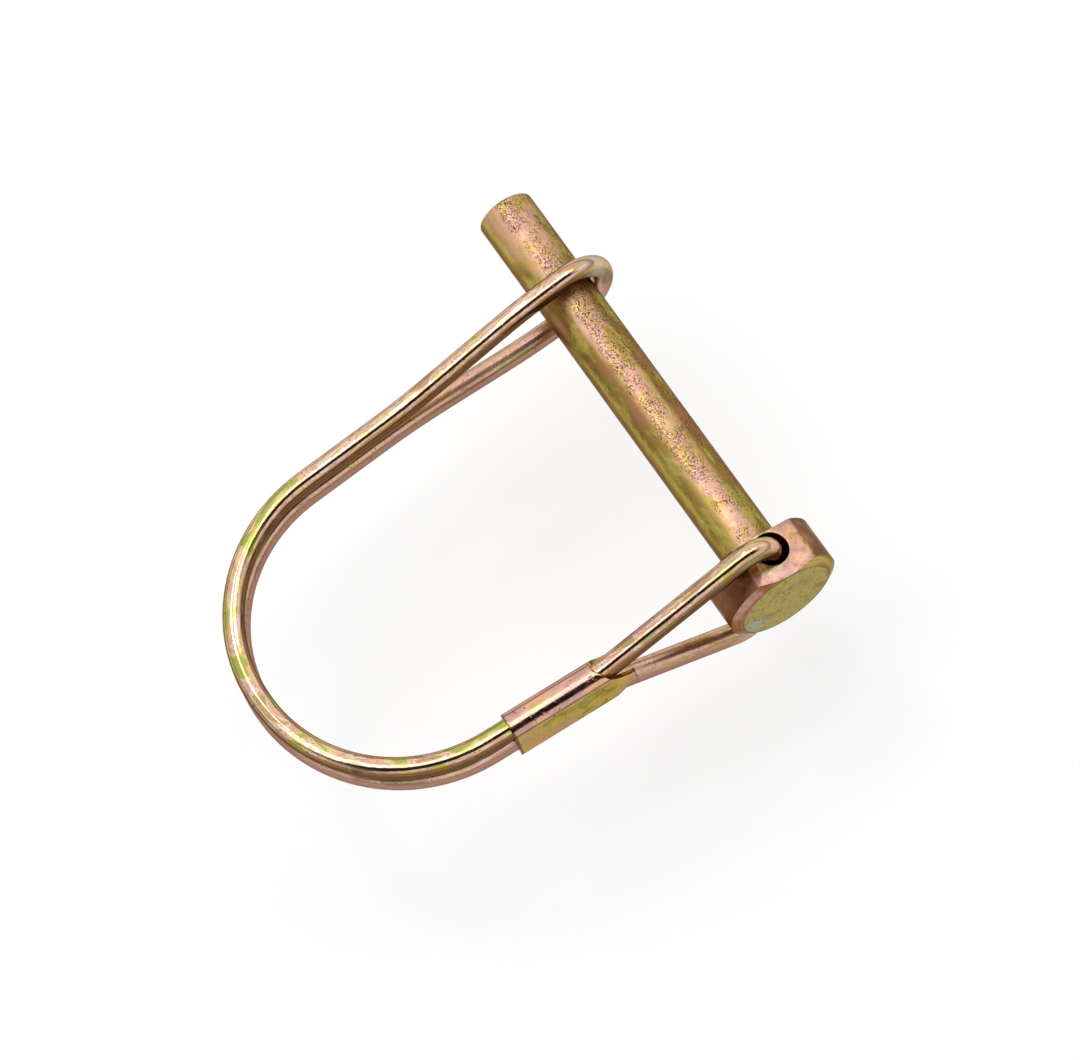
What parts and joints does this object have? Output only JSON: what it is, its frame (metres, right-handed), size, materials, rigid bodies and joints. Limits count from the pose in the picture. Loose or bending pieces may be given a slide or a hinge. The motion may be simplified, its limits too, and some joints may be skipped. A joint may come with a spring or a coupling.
{
  "type": "hitch pin lock",
  "caption": "Headed hitch pin with a hinged D-shaped spring-wire bail whose closed eye snaps round the shank, so that the pin can't work out of its hole.",
  "frame": {"origin": "centre of the head's underside, on the pin's axis", "axes": "+X along the shank to its tip, +Y towards the bail's arch, +Z square to the bail"},
  "size_m": [0.0537, 0.058, 0.02],
  "materials": {
    "plated_pin": "turned steel with an iridescent yellow zinc finish, rose, gold and olive",
    "plated_wire": "smooth drawn spring wire with an iridescent yellow zinc finish, pink and gold",
    "plated_sheet": "folded and crimped sheet with an iridescent yellow zinc finish, yellow-green and rose"
  },
  "bodies": {
    "pin": {"pin": "plated_pin"},
    "bail": {"bail_wire": "plated_wire", "ferrule": "plated_sheet"}
  },
  "joints": [
    {"name": "bail_swing", "type": "hinge", "parent": "pin", "child": "bail", "pos_m": [-0.0024, 0.00029, 0.00006], "axis": [0, -0.2079, 0.9781], "range_deg": [0, 250], "deforming": ["bail_wire"]}
  ]
}
